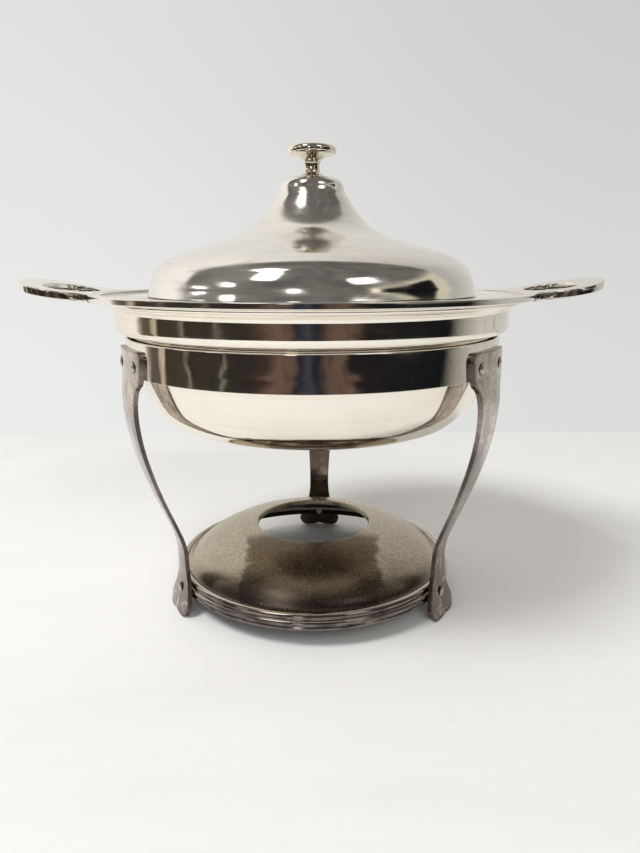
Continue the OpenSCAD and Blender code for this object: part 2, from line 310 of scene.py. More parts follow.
def silver(name, clean, amount, rough, tarnish=(0.66, 0.55, 0.40), haze=0.10, wave=1.0):
    """Polished silver plate: soft clouds of tarnish, lathe lines, hairline scratches and the slight
    waviness of spun sheet. amount is of tarnish, rough and haze of roughness all over and in smears."""
    mat, g, bsdf, place = material(name, 1.0)
    clouds = g.noise(place, 14.0, 5.0, 0.6, 0.4)
    specks = g.noise(place, 260.0, 3.0, 0.6)
    lines = turned_lines(g, place, 900.0)
    hair = g.noise(g.stretch(place, (40.0, 420.0, 900.0)), 1.0, 2.0, 0.5)
    film = g.math("MULTIPLY", g.ramp(clouds, 0.42, 0.78), amount)
    dots = g.math("MULTIPLY", g.ramp(specks, 0.66, 0.80), 0.35 * amount)
    spun = g.ramp(turned_lines(g, place, 260.0), 0.40, 0.72, 0.0, 0.16)
    colour = g.mix(g.math("ADD", g.math("ADD", film, dots), spun, clamp=True), clean, tarnish)
    g.join(colour, bsdf.inputs["Base Color"])
    smear = g.noise(g.stretch(place, (22.0, 22.0, 60.0)), 1.0, 4.0, 0.6, 0.8)
    smear = g.ramp(smear, 0.40, 0.80, 0.0, haze)
    scratch = g.ramp(hair, 0.62, 0.78, 0.0, 0.05)
    total = g.math("ADD", g.math("ADD", smear, scratch), g.ramp(lines, 0.35, 0.75, rough, rough + 0.035))
    g.join(total, bsdf.inputs["Roughness"])
    swell = g.noise(place, 9.0, 1.0, 0.4)
    n1 = g.bump(swell, 0.5 * wave, 0.0012)
    n2 = g.bump(lines, 0.035, 0.0002, n1)
    n3 = g.bump(hair, 0.02, 0.0002, n2)
    g.join(n3, bsdf.inputs["Normal"])
    return mat


def leg_plate(name, dark=0.0):
    """Worn plate on the strap legs: satin, pinkish grey, browned in patches and darker brown along the
    edges and towards the bottom; painted shade makes it darker and tan towards the top, and pale patches
    are painted highlights. dark is the least share of the brown: painted shade for a leg that stands in
    shadow, which also weakens the painted highlights."""
    mat, g, bsdf, place = material(name, 1.0)
    edge = g.put("ShaderNodeAttribute", attribute_name="edge").outputs["Fac"]
    z = g.split(place)[2]
    big = g.noise(place, 26.0, 4.0, 0.55, 0.6)
    fine = g.noise(place, 520.0, 3.0, 0.6)
    pale = g.ramp(g.noise(place, 34.0, 3.0, 0.55), 0.42, 0.66)
    c1 = g.mix(pale, (0.46, 0.395, 0.36), (0.72, 0.655, 0.58))
    low = g.ramp(z, 0.02, 0.15, 0.85, 0.0)
    streak = g.noise(g.stretch(place, (150.0, 150.0, 22.0)), 1.0, 4.0, 0.6)
    streak = g.ramp(streak, 0.50, 0.72, 0.0, 0.45)
    darkened = g.math("ADD", g.math("ADD", g.ramp(big, 0.48, 0.74, 0.0, 0.7), low), streak, clamp=True)
    # the copy in shade mixes a darker brown: painted shade
    brown = (0.225, 0.178, 0.158) if dark == 0 else (0.095, 0.068, 0.055)
    c2 = g.mix(g.math("MAXIMUM", darkened, dark), c1, brown)
    # painted shade: darker and tan towards the top of the leg
    high = g.mix(g.ramp(z, 0.140, 0.164, 0.0, 0.55), c2, (0.44, 0.385, 0.30))
    mottle = g.noise(place, 120.0, 5.0, 0.68, 0.6)
    blotched = g.mix(g.ramp(mottle, 0.52, 0.66, 0.0, 0.55), high, (0.185, 0.135, 0.110))
    # painted highlights: pale patches at random, weaker in the copy in shade
    painted_sheen = g.mix(g.ramp(mottle, 0.47, 0.36, 0.0, 0.55 * (1 - dark)), blotched, (0.80, 0.74, 0.665))
    speck = g.ramp(fine, 0.45, 0.70, 0.0, 0.35)
    c3 = g.mix(speck, painted_sheen, (0.17, 0.13, 0.12))
    rim = g.math("MULTIPLY", g.ramp(edge, 0.35, 0.95), g.ramp(big, 0.30, 0.60, 0.55, 1.0))
    g.join(g.mix(g.math("MULTIPLY", rim, 0.9), c3, (0.075, 0.055, 0.05)), bsdf.inputs["Base Color"])
    gloss = g.math("ADD", g.ramp(fine, 0.3, 0.75, 0.16, 0.25), g.math("MULTIPLY", rim, 0.10))
    g.join(g.math("ADD", gloss, g.ramp(z, 0.12, 0.165, 0.0, -0.06)), bsdf.inputs["Roughness"])
    n1 = g.bump(big, 0.22, 0.0007)
    g.join(g.bump(fine, 0.05, 0.0002, n1), bsdf.inputs["Normal"])
    return mat


# painted shade: a dark colour for plate that faces the dark underside of the stand
UNDERSIDE_SHADE = (0.035, 0.028, 0.022)  # plate that only looks at the dark underside of the stand


def tray_plate(name):
    """The burner tray's dull plate: a fine olive and brown speckle, pale to the sides, with a darker
    patch in front that is a painted reflection of the dark room; painted shade darkens its lower front and
    where it faces down."""
    mat, g, bsdf, place = material(name, 1.0)
    x, y, z = g.split(place)
    cloud = g.noise(place, 24.0, 4.0, 0.6, 0.5)
    mott = g.noise(place, 640.0, 4.0, 0.72, 0.2)
    grain = g.noise(place, 1100.0, 3.0, 0.75)
    spots = g.noise(place, 170.0, 2.0, 0.5)
    c1 = g.mix(g.ramp(mott, 0.34, 0.66), (0.36, 0.30, 0.22), (0.60, 0.53, 0.42))
    c2 = g.mix(g.ramp(cloud, 0.50, 0.72, 0.0, 0.55), c1, (0.36, 0.29, 0.215))
    # painted reflection: a darker patch in the middle of the front, for the dark room mirrored there
    waver = g.math("MULTIPLY_ADD", cloud, 0.030, -0.015)
    wide = g.math("ADD", g.math("ABSOLUTE", g.math("ADD", x, 0.001)), waver)
    ahead = g.ramp(y, -0.020, -0.034)
    patch = g.math("MULTIPLY", g.ramp(wide, 0.047, 0.042), ahead)
    patch = g.math("MULTIPLY", patch, g.ramp(mott, 0.30, 0.70, 0.94, 0.80))
    c3 = g.mix(patch, c2, (0.125, 0.092, 0.062))
    # painted shade: the lower front of the dome darker
    foot = g.ramp(g.math("ADD", z, g.math("MULTIPLY", cloud, 0.006)), 0.034, 0.026)
    foot = g.math("MULTIPLY", g.math("MULTIPLY", foot, 0.88), g.ramp(y, -0.02, -0.06))
    c4 = g.mix(foot, c3, (0.060, 0.046, 0.043))
    c5 = g.mix(g.ramp(spots, 0.71, 0.78, 0.0, 0.5), c4, (0.62, 0.58, 0.50))
    c6 = g.mix(g.ramp(grain, 0.50, 0.72, 0.0, 0.5), c5, (0.10, 0.08, 0.06))
    facing_up = g.split(g.put("ShaderNodeNewGeometry").outputs["Normal"])[2]
    # painted shade where the dome faces down
    c7 = g.mix(g.ramp(facing_up, 0.10, -0.15), c6, UNDERSIDE_SHADE)
    g.join(c7, bsdf.inputs["Base Color"])
    dull = g.math("ADD", g.ramp(mott, 0.3, 0.7, 0.21, 0.31), g.ramp(grain, 0.4, 0.8, 0.0, 0.08))
    g.join(dull, bsdf.inputs["Roughness"])
    n1 = g.bump(cloud, 0.18, 0.0008)
    g.join(g.bump(grain, 0.10, 0.0002, n1), bsdf.inputs["Normal"])
    return mat


def rim_plate(name):
    """The tray's moulding: still glossy, but stained purple and brown in bands; paler where it faces up,
    partly cleaned by rubbing and partly a painted highlight; painted paler to the back and sides; and
    painted shade where its inner face looks under the dome."""
    mat, g, bsdf, place = material(name, 1.0)
    stain = g.noise(g.stretch(place, (60.0, 60.0, 240.0)), 1.0, 4.0, 0.65, 0.6)
    fine = g.noise(place, 500.0, 3.0, 0.6)
    c1 = g.mix(g.ramp(stain, 0.36, 0.60), (0.105, 0.082, 0.082), (0.27, 0.23, 0.215))
    c2 = g.mix(g.ramp(stain, 0.58, 0.72), c1, (0.25, 0.165, 0.10))
    c3 = g.mix(g.ramp(stain, 0.74, 0.80, 0.0, 0.8), c2, (0.72, 0.66, 0.55))
    x, y, z = g.split(place)
    facing_up = g.split(g.put("ShaderNodeNewGeometry").outputs["Normal"])[2]
    # paler where it faces up: partly plate cleaned by rubbing, partly a painted highlight
    rubbed_and_highlit = g.mix(g.ramp(facing_up, 0.50, 0.90, 0.0, 0.85), c3, (0.66, 0.61, 0.54))
    # painted light: paler to the back and sides, where the moulding mirrors less of the dark room
    c4 = g.mix(g.ramp(y, -0.075, -0.035, 0.0, 0.85), rubbed_and_highlit, (0.46, 0.40, 0.32))
    # painted shade on the moulding's inner face, where it looks under the dome
    inner = g.math("MULTIPLY", g.ramp(g.radius(x, y), 0.0968, 0.0964), g.ramp(z, 0.0182, 0.0176))
    g.join(g.mix(inner, c4, UNDERSIDE_SHADE), bsdf.inputs["Base Color"])
    g.join(g.ramp(fine, 0.35, 0.75, 0.05, 0.15), bsdf.inputs["Roughness"])
    g.join(g.bump(stain, 0.15, 0.0005), bsdf.inputs["Normal"])
    return mat


def rivet_plate(name):
    """Rivet heads in the legs' plate, a little brighter on the crown and dark round the edge."""
    mat, g, bsdf, place = material(name, 1.0)
    edge = g.put("ShaderNodeAttribute", attribute_name="edge").outputs["Fac"]
    fine = g.noise(place, 600.0, 3.0, 0.6)
    c1 = g.mix(g.ramp(fine, 0.40, 0.70), (0.62, 0.565, 0.49), (0.42, 0.36, 0.31))
    c2 = g.mix(g.ramp(edge, 0.72, 0.97), c1, (0.05, 0.04, 0.035))
    g.join(c2, bsdf.inputs["Base Color"])
    g.join(g.ramp(fine, 0.3, 0.8, 0.30, 0.42), bsdf.inputs["Roughness"])
    g.join(g.bump(fine, 0.06, 0.0002), bsdf.inputs["Normal"])
    return mat


SILVER = silver("silver_plate", (0.92, 0.895, 0.85), 0.45, 0.08, (0.62, 0.56, 0.48), haze=0.20, wave=0.12)
SILVER_BAND = silver("silver_band", (0.90, 0.865, 0.80), 0.45, 0.03, haze=0.05, wave=0.5)
SILVER_BOWL = silver("silver_bowl", (0.945, 0.90, 0.805), 0.5, 0.04, haze=0.07, wave=0.6)
SILVER_RIM = silver("silver_rim", (0.84, 0.82, 0.78), 0.5, 0.05, wave=1.2)
SILVER_KNOB = silver("silver_knob", (0.88, 0.83, 0.72), 0.7, 0.05, (0.50, 0.40, 0.26), wave=0.5)
SCREW = silver("screw_metal", (0.66, 0.63, 0.58), 0.8, 0.22, (0.38, 0.32, 0.26))
RIVET = rivet_plate("rivet_metal")
LEG = leg_plate("leg_plate")
# a copy with painted shade, for the rear leg in shadow
LEG_IN_SHADE = leg_plate("leg_plate_in_shade", 0.92)
TRAY = tray_plate("tray_plate")
TRAY_RIM = rim_plate("tray_rim_plate")


def dress(ob, mat, body, slot, *nodes):
    """Gives the piece its material and puts it on its body, in place of its CAD nodes; slot is not used."""
    ob.data.materials.append(mat)
    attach(ob, body)
    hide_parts(*nodes)


# ---------------------------------------------------------------- lid and knob
lid_path = [(0.0, LID_TOP)] + smooth(
    [
        (9.4, LID_TOP),
        (15.6, LID_TOP - 0.2),
        (20.8, LID_TOP - 3.8),
        (21.6, LID_TOP - 9.4),
        (25.4, LID_TOP - 15),
        (29, LID_TOP - 21),
        (36, LID_TOP - 29.4),
        (47.5, LID_TOP - 37.2),
        (69, LID_TOP - 43.2),
        (91, LID_TOP - 49.6),
        (101.4, LID_TOP - 55.8),
        (105.6, LID_TOP - 62.6),
        (107.3, LID_TOP - 67.8),
        (107.75, LID_TOP - 71.2),
        (LID_R, LID_SEAT + 0.2),
    ],
    14,
)
lid_path.append((LID_R, LID_SEAT))
lid = lathe("lid_dome", sheet(lid_path, LID_T), bevel=0.3)
dress(lid, SILVER, "lid", "silver_plate", "lid")
# the lip inside its edge: a ledge that rests on the flange and a skirt that hangs in the well
SKIRT_R, SKIRT_DROP, LIP_T = 102.2, 6.0, 1.4
LEDGE_R, LEDGE_TOP = LID_R - 1.1, LID_SEAT + 1.3
lip = lathe(
    "lid_lip",
    [
        (SKIRT_R - LIP_T, LID_SEAT - SKIRT_DROP),
        (SKIRT_R, LID_SEAT - SKIRT_DROP),
        (SKIRT_R, LID_SEAT),
        (LEDGE_R, LID_SEAT),
        (LEDGE_R, LEDGE_TOP),
        (SKIRT_R - LIP_T, LEDGE_TOP),
    ],
    bevel=0.3,
)
dress(lip, SILVER, "lid", "silver_plate", "lid")

knob_path = [(0.0, LID_TOP), (9.0, LID_TOP)] + smooth(
    [
        (9.0, LID_TOP + 0.6),
        (6.0, LID_TOP + 1.6),
        (KNOB_NECK, LID_TOP + 4),
        (KNOB_NECK, LID_TOP + 8.4),
        (KNOB_NECK + 2.2, LID_TOP + 11.4),
        (KNOB_R - 4.6, LID_TOP + 12.8),
        (KNOB_R, LID_TOP + 13.4),
        (KNOB_R, LID_TOP + 18),
        (KNOB_R - 4.5, LID_TOP + KNOB_H - 0.2),
        (KNOB_R - 10, LID_TOP + KNOB_H),
        (0.0, LID_TOP + KNOB_H),
    ],
    12,
)
knob = lathe("turned_knob", knob_path, n=160)
dress(knob, SILVER_KNOB, "lid", "silver_knob", "knob")

# ---------------------------------------------------------------- food pan
mouth_r = WELL_R + PAN_T
pan_path = (
    [(0.0, FLANGE_Z - WELL_DEPTH)]
    + smooth(
        [
            (WELL_R - 24, FLANGE_Z - WELL_DEPTH),
            (WELL_R - 7, FLANGE_Z - WELL_DEPTH + 1),
            (WELL_R - 3, FLANGE_Z - WELL_DEPTH + 15),
            (mouth_r, 197.5),
        ],
        12,
    )
    + smooth([(mouth_r, FLANGE_Z - 6), (mouth_r, FLANGE_Z), (mouth_r + 3, FLANGE_Z)], 8)
    + [(FLANGE_R - BORDER_W - 0.05, FLANGE_Z)]
)
pan = lathe("food_well", sheet(pan_path, -PAN_T))
dress(pan, SILVER, "food_pan", "silver_plate", "food_pan")
border_bar = rounded_bar(FLANGE_R - BORDER_W, FLANGE_Z, FLANGE_R, FLANGE_Z + BORDER_T, 0.6)
border = lathe("flange_border", border_bar, n=FINE_TURN)
dress(border, SILVER_RIM, "food_pan", "silver_plate", "food_pan_border")


def loop_top(x):
    """Height of a handle's upper face, which rises away from the flange."""
    start, end = FLANGE_R - 8, LOOP_X + LOOP_A
    d = max(0.0, x - start) / (end - start)
    return FLANGE_Z + BORDER_T + LOOP_RISE * (0.43 * d + 0.57 * d * d)


def loop_outline():
    """Half of the loop's outline in plan, y > 0, from inside the flange's edge round to the outer end."""
    inner = FLANGE_R - 2
    inside = [oval(0, inner, inner, a) for a in (0, 4, 8, 12, 16, 18.6)]
    blend = smooth([oval(0, FLANGE_R, FLANGE_R, 19), (142.6, 33.8), oval(LOOP_X, LOOP_A, LOOP_B, 120)], 16)
    ring = [oval(LOOP_X, LOOP_A, LOOP_B, t) for t in range(118, -1, -2)]
    return inside + blend + ring


def ray_hit(origin, angle, pts):
    """Distance from origin along angle to the closed outline pts."""
    dx, dy = math.cos(angle), math.sin(angle)
    best = None
    for (ax, ay), (bx, by) in zip(pts, pts[1:] + pts[:1]):
        ex, ey = bx - ax, by - ay
        det = dx * -ey + ex * dy
        if abs(det) < 1e-12:
            continue
        qx, qy = ax - origin[0], ay - origin[1]
        t = (qx * -ey + ex * qy) / det
        s = (dx * qy - dy * qx) / det
        if t > 0 and -1e-9 <= s <= 1 + 1e-9 and (best is None or t > best):
            best = t
    return best


def handle(name, side, node):
    """A flat loop with rounded edges, built as cross-sections fanned round a point inside the grip."""
    half = loop_outline()
    outer = half + [(x, -y) for x, y in half[::-1] if y > 1e-6]
    hole = [oval(LOOP_X, GRIP_A, GRIP_B, t) for t in range(0, 360, 2)]
    centre = (LOOP_X - 14.0, 0.0)  # from here every ray crosses each outline once
    n, edge = 420, 0.8  # sections, and the radius of the edges
    quarter = [math.radians(a) for a in (0, 18, 36, 54, 72, 90)]
    steps = [edge * (1 - math.cos(a)) for a in quarter]
    drop = [edge * (1 - math.sin(a)) for a in quarter]
    bm = bmesh.new()
    rows = []
    for k in range(n):
        a = 2 * math.pi * (k + 0.5) / n
        r0, r1 = ray_hit(centre, a, hole), ray_hit(centre, a, outer)
        span = r1 - r0
        e = min(edge, span * 0.45) / edge
        across = [s * e for s in steps] + [span * f for f in (0.35, 0.5, 0.65)]
        across += [span - s * e for s in steps[::-1]]
        fall = drop + [0, 0, 0] + drop[::-1]
        ring = []
        for under in (False, True):
            for s, f in zip(across[:: -1 if under else 1], fall[:: -1 if under else 1]):
                x = centre[0] + math.cos(a) * (r0 + s)
                y = centre[1] + math.sin(a) * (r0 + s)
                z = loop_top(x) - (LOOP_T - f if under else f)
                ring.append(bm.verts.new((side * x * MM, y * MM, z * MM)))
        rows.append(ring)
    m = len(rows[0])
    for a, b in zip(rows, rows[1:] + rows[:1]):
        for j in range(m):
            j2 = (j + 1) % m
            bm.faces.new((a[j], a[j2], b[j2], b[j]))
    dress(link(name, bm, sharp=0), SILVER_RIM, "food_pan", "silver_plate", node)


handle("left_loop", -1, "handle_left")
handle("right_loop", 1, "handle_right")

# ---------------------------------------------------------------- water pan
# the sheet's edge meets the wire at 45 degrees, from inside and below
DIAG = math.sqrt(0.5)
reach = WIRE_R + 0.03
end = (WIRE_AT[0] + (WATER_T / 2 - reach) * DIAG, WIRE_AT[1] - (WATER_T / 2 + reach) * DIAG)
water_path = (
    [(0.0, BOWL_Z)]
    + smooth(
        [
            (30, BOWL_Z),
            (50, BOWL_Z),
            (92.6, BOWL_Z + 4.7),
            (108.4, BOWL_Z + 16.8),
            (114.1, BOWL_Z + 31),
            (119.6, 173.5),
            (121.1, 181.5),
            (121.2, 185.7),
        ],
        14,
    )
    + smooth([(123.4, 186.4), (127.4, 186.7), (COLLAR_R, COLLAR_Z0 - 0.4), (COLLAR_R, COLLAR_Z0 + 3)], 8)
    + smooth([(COLLAR_R, COLLAR_Z1 - 1), (COLLAR_R, COLLAR_Z1 + 1.6), (end[0] - 1.7, end[1] - 1.7), end], 8)
)
water = lathe("water_bowl", sheet(water_path, -WATER_T), n=FINE_TURN)
dress(water, SILVER_BOWL, "water_pan", "silver_plate", "water_pan")
wire = lathe("rolled_rim", arc(WIRE_AT[0], WIRE_AT[1], WIRE_R, 0, 345, 23), n=FINE_TURN)
dress(wire, SILVER_BOWL, "water_pan", "silver_plate", "water_pan_rim")

# ---------------------------------------------------------------- stand
ring = lathe(
    "ring_band",
    [(RING_R - RING_T, RING_Z0), (RING_R, RING_Z0)]
    + arc(RING_R - RING_T / 2, RING_Z1 - RING_T / 2, RING_T / 2, 0, 180, 12),
    n=FINE_TURN,
    bevel=0.25,
)
dress(ring, SILVER_BAND, "stand", "silver_plate", "stand_ring")

LEG_MID = RING_R + LEG_T / 2
leg_line = smooth(
    [
        (LEG_MID, LEG_TOP_Z + 4),
        (LEG_MID, 173.5),
        (LEG_MID, 161.1),
        (LEG_MID + 1.8, 147.5),
        (LEG_MID + 0.6, 131.5),
        (LEG_MID - 2.2, 115.5),
        (LEG_MID - 7.4, 97.5),
        (LEG_MID - 14.1, 79.5),
        (WAIST_R + 6.4, 63.5),
        (WAIST_R + 0.3, 47.5),
        (WAIST_R - 0.2, 33.5),
        (WAIST_R + 0.2, 19.5),
        (FOOT_R - 2, 6.5),
        (FOOT_R + 0.4, -3),
    ],
    10,
)
leg_half = smooth(
    [
        (26, LEG_TOP_Z),
        (26, 160.5),
        (18.6, 157.5),
        (16.4, 147.5),
        (14.6, 133.5),
        (14, 117.5),
        (13, 99.5),
        (10.6, 81.5),
        (8.8, 65.5),
        (WAIST_W / 2 - 0.1, 49.5),
        (WAIST_W / 2, 33.5),
        (WAIST_W / 2 + 2.6, 23),
        (FOOT_W / 2 - 2.4, 14),
        (FOOT_W / 2 + 1.2, 7),
        (FOOT_W / 2 + 0.2, 0),
    ],
    10,
)


def along(path, z):
    """Radius, or half width, of a falling path at height z."""
    for (x0, z0), (x1, z1) in zip(path, path[1:]):
        if z1 <= z <= z0:
            return x0 + (x1 - x0) * ((z0 - z) / (z0 - z1) if z0 > z1 else 0)
    return path[-1][0] if z < path[-1][1] else path[0][0]


def slope(path, z):
    """How fast the path's radius grows with height, at height z."""
    step = 0.8
    return (along(path, z + step) - along(path, z - step)) / (2 * step)


def dip(t):
    """How far a quarter circle has fallen at t of its radius."""
    return 1 - math.sqrt(1 - min(t, 1) ** 2)


CORNER, CORNER_FADE = 4.0, 10.0  # radius of the strap's top corners and the height it dies out over
FOOT_H, NOTCH, LOBE = 9.0, 1.4, 5.6  # height of the foot's shaping, rise of its notch and of its outer ends


def leg(name, azimuth, node, mat):
    """A strap bent along leg_line and cut to leg_half, with rounded top corners and a notched
    fishtail foot."""
    bm = bmesh.new()
    tag = bm.verts.layers.float.new("edge")
    rows, cols = 150, 25
    front, back = [], []
    for i in range(rows + 1):
        z0 = LEG_TOP_Z * (1 - i / rows)
        w = along(leg_half, z0)
        f, b = [], []
        for j in range(cols + 1):
            t = -1 + 2 * j / cols
            y = t * w
            corner = max(0.0, (abs(t) * w - (w - CORNER)) / CORNER)
            z = z0 - CORNER * dip(corner) * max(0.0, 1 - (LEG_TOP_Z - z0) / CORNER_FADE)
            low = max(0.0, 1 - z0 / FOOT_H) ** 1.2
            notch = NOTCH * math.exp(-((t / 0.28) ** 2))
            lobe = LOBE * dip(max(0.0, (abs(t) - 0.6) / 0.4))
            z += (notch + lobe) * low
            r = along(leg_line, z)
            k = slope(leg_line, z)
            lean = 1 / math.hypot(1, k)
            # 1 along the sides and at both ends, where the plate is darker
            darkened = max(abs(t) ** 5, 1 - (LEG_TOP_Z - z0) / 2.5, 1 - z0 / 3)
            for s, line in ((0.5, f), (-0.5, b)):
                face_r = r + s * LEG_T * lean
                x = math.sqrt(max(face_r * face_r - y * y, 1.0))
                v = bm.verts.new((x * MM, y * MM, max(z, 0.0) * MM))
                v[tag] = darkened
                line.append(v)
        front.append(f)
        back.append(b)
    for i in range(rows):
        for j in range(cols):
            bm.faces.new((front[i][j], front[i][j + 1], front[i + 1][j + 1], front[i + 1][j]))
            bm.faces.new((back[i][j], back[i + 1][j], back[i + 1][j + 1], back[i][j + 1]))
        for j in (0, cols):
            bm.faces.new((front[i][j], front[i + 1][j], back[i + 1][j], back[i][j]))
    for i in (0, rows):
        for j in range(cols):
            bm.faces.new((front[i][j], front[i][j + 1], back[i][j + 1], back[i][j]))
    bm.transform(Matrix.Rotation(math.radians(azimuth + STAND_TURN), 4, "Z"))
    dress(link(name, bm, sharp=0, bevel=0.95, segments=4), mat, "stand", "leg_plate", node)


LEGS = {"left": 210, "right": 330, "rear": 90}
for side, azimuth in LEGS.items():
    leg("strap_" + side, azimuth, "leg_" + side, LEG_IN_SHADE if side == "rear" else LEG)


def rivet_mesh(x_in, x_out, tail_r, z, azimuth):
    """A rivet along the radius at a height and azimuth: a flat tail inside, a domed head outside."""
    head_r, shank, tail_t = RIVET_D / 2, RIVET_D * 0.27, 1.0
    cap = (head_r**2 + RIVET_HEAD**2) / (2 * RIVET_HEAD)  # the dome's own radius
    half = math.degrees(math.asin(head_r / cap))
    line = [(0, x_in - tail_t), (tail_r, x_in - tail_t), (tail_r, x_in)]
    line += [(shank, x_in), (shank, x_out), (head_r, x_out)]
    line += arc(0, x_out + RIVET_HEAD - cap, cap, 90 - half, 90, 12)[1:]
    line[-1] = (0.0, x_out + RIVET_HEAD)
    bm = bmesh.new()
    tag = bm.verts.layers.float.new("edge")
    rings = []
    for r, h in line:
        rings.append(circle(bm, r, h, 48))
        for v in rings[-1]:
            v[tag] = r / head_r
    for a, b in zip(rings, rings[1:]):
        skin(bm, a, b)
    turn = Matrix.Rotation(math.radians(azimuth + STAND_TURN), 4, "Z")
    bm.transform(turn @ Matrix.Translation((0, 0, z * MM)) @ Matrix.Rotation(math.radians(90), 4, "Y"))
    return bm


gap = math.degrees(math.asin(LEG_RIVET_GAP / 2 / RING_R))  # from a leg's middle to its rivets
top_rivets = link(
    "top_rivets",
    joined(
        [
            rivet_mesh(RING_R - RING_T - TAIL_GAP, RING_R + LEG_T + HEAD_GAP, 3.0, LEG_RIVET_Z, a + s * gap)
            for a in LEGS.values()
            for s in (-1, 1)
        ]
    ),
)
dress(top_rivets, RIVET, "stand", "rivet_metal", "leg_rivets")
low_rivets = link(
    "low_rivets",
    joined(
        [
            rivet_mesh(BAND_IN - TAIL_GAP, LEG_SEAT_R + HEAD_GAP, 2.4, TRAY_RIVET_Z, a)
            for a in LEGS.values()
        ]
    ),
)
dress(low_rivets, RIVET, "stand", "rivet_metal", "tray_rivets")

# the tray: a dome standing on a moulding of two rolls under a bead
bead_r, bead_x = 2.3, TRAY_R - 3.7
bead_z = TRAY_Z + TRAY_BAND + bead_r - 0.4
seat_r = bead_x - bead_r
dome_path = [(HOLE_R, HOLE_Z - 3.2)] + smooth(
    [
        (HOLE_R, HOLE_Z - 0.8),
        (HOLE_R, HOLE_Z),
        (HOLE_R + 3, HOLE_Z),
        (60, 41.9),
        (74, 35.3),
        (84.6, 28.1),
        (seat_r - 2, bead_z + 1.2),
        (seat_r, bead_z + 1.2),
    ],
    12,
)
dome = lathe("tray_dome", sheet(dome_path[::-1], -TRAY_T))
dress(dome, TRAY, "stand", "tray_plate", "burner_tray")
low_roll, high_roll = 1.2, 1.7
rim = lathe(
    "tray_moulding",
    [(BAND_IN, TRAY_Z)]
    + arc(TRAY_R - low_roll, TRAY_Z + low_roll, low_roll, -90, 45, 10)
    + arc(TRAY_R - high_roll, TRAY_Z + TRAY_BAND - high_roll, high_roll, -45, 90, 12)
    + arc(bead_x, bead_z, bead_r, -20, 180, 24)
    + [(seat_r, bead_z - bead_r), (BAND_IN, bead_z - bead_r)],
    bevel=0.25,
)
dress(rim, TRAY_RIM, "stand", "tray_rim_plate", "tray_rim")

# the washer and the screw under the lid's crown stay as the CAD made them
for node in ("knob_washer", "knob_screw"):
    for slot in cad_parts[node].material_slots:
        slot.material = SCREW

# ---------------------------------------------------------------- floor, light and camera
# the white paper ends at the wall and at a rounded front edge, in metres
WALL_Y, PAPER_R = 0.441, 0.84
bm = bmesh.new()
bmesh.ops.create_grid(bm, x_segments=80, y_segments=60, size=1.0)
for v in bm.verts:
    front = -math.sqrt(1 - v.co.x**2)
    v.co = (v.co.x * PAPER_R, WALL_Y + (front * PAPER_R - WALL_Y) * (1 - v.co.y) / 2, 0)
floor = link("paper_floor", bm, sharp=0)
paper, g, bsdf, place = material("white_paper", 0.0)
crease = g.noise(g.stretch(place, (2.0, 7.0, 1.0)), 1.0, 5.0, 0.6, 1.2)
white = g.mix(g.ramp(crease, 0.35, 0.75), (0.90, 0.895, 0.89), (0.865, 0.86, 0.86))
g.join(white, bsdf.inputs["Base Color"])
bsdf.inputs["Roughness"].default_value = 0.75
g.join(g.bump(crease, 0.25, 0.01), bsdf.inputs["Normal"])
floor.data.materials.append(paper)

# the camera sees a plain pale backdrop; the plate mirrors a room painted by direction
world = bpy.data.worlds.new("studio")
bpy.context.scene.world = world
world.use_nodes = True
g = Nodes(world.node_tree)
out = g.put("ShaderNodeOutputWorld")
sky = g.put("ShaderNodeBackground")
plain = g.put("ShaderNodeBackground")
pick = g.put("ShaderNodeMixShader")
rays = g.put("ShaderNodeLightPath")
g.join(rays.outputs["Is Camera Ray"], pick.inputs[0])
g.join(sky.outputs[0], pick.inputs[1])
g.join(plain.outputs[0], pick.inputs[2])
g.join(pick.outputs[0], out.inputs[0])
dx, dy, dz = g.split(g.put("ShaderNodeTexCoord").outputs["Generated"])
# degrees round from the front (-Y) towards +X, and degrees up
around = g.math("MULTIPLY", g.math("ARCTAN2", dx, g.math("MULTIPLY", dy, -1.0)), 180 / math.pi)
up = g.math("MULTIPLY", g.math("ARCSINE", dz), 180 / math.pi)

# upright bands of the dim room at table height, by direction
ROOM = [
    (-180, (0.60, 0.58, 0.54)),
    (-122, (0.55, 0.52, 0.47)),
    (-117, (0.13, 0.11, 0.085)),
    (-107.5, (0.10, 0.08, 0.06)),
    (-106.5, (0.58, 0.50, 0.39)),
    (-102.5, (0.52, 0.44, 0.34)),
    (-101.5, (0.050, 0.041, 0.031)),
    (-83.5, (0.060, 0.050, 0.038)),
    (-82.5, (0.25, 0.215, 0.175)),
    (-80.5, (0.22, 0.19, 0.155)),
    (-79.5, (0.042, 0.036, 0.028)),
    (-57.5, (0.042, 0.036, 0.030)),
    (-56.5, (0.19, 0.16, 0.13)),
    (-54.0, (0.16, 0.14, 0.11)),
    (-53.0, (0.034, 0.030, 0.025)),
    (-38, (0.028, 0.024, 0.022)),
    (-27, (0.050, 0.032, 0.026)),
    (-20, (0.155, 0.097, 0.072)),
    (-12, (0.12, 0.078, 0.060)),
    (-8, (0.014, 0.017, 0.028)),
    (-2, (0.055, 0.055, 0.065)),
    (3, (0.012, 0.015, 0.026)),
    (9, (0.12, 0.078, 0.058)),
    (20, (0.14, 0.088, 0.068)),
    (24, (0.016, 0.014, 0.014)),
    (87, (0.008, 0.009, 0.011)),
    (91, (0.12, 0.11, 0.095)),
    (99, (0.33, 0.32, 0.29)),
    (114, (0.55, 0.54, 0.51)),
    (180, (0.60, 0.58, 0.54)),
]
band = g.put("ShaderNodeValToRGB")
stops = band.color_ramp.elements
while len(stops) < len(ROOM):
    stops.new(0.5)
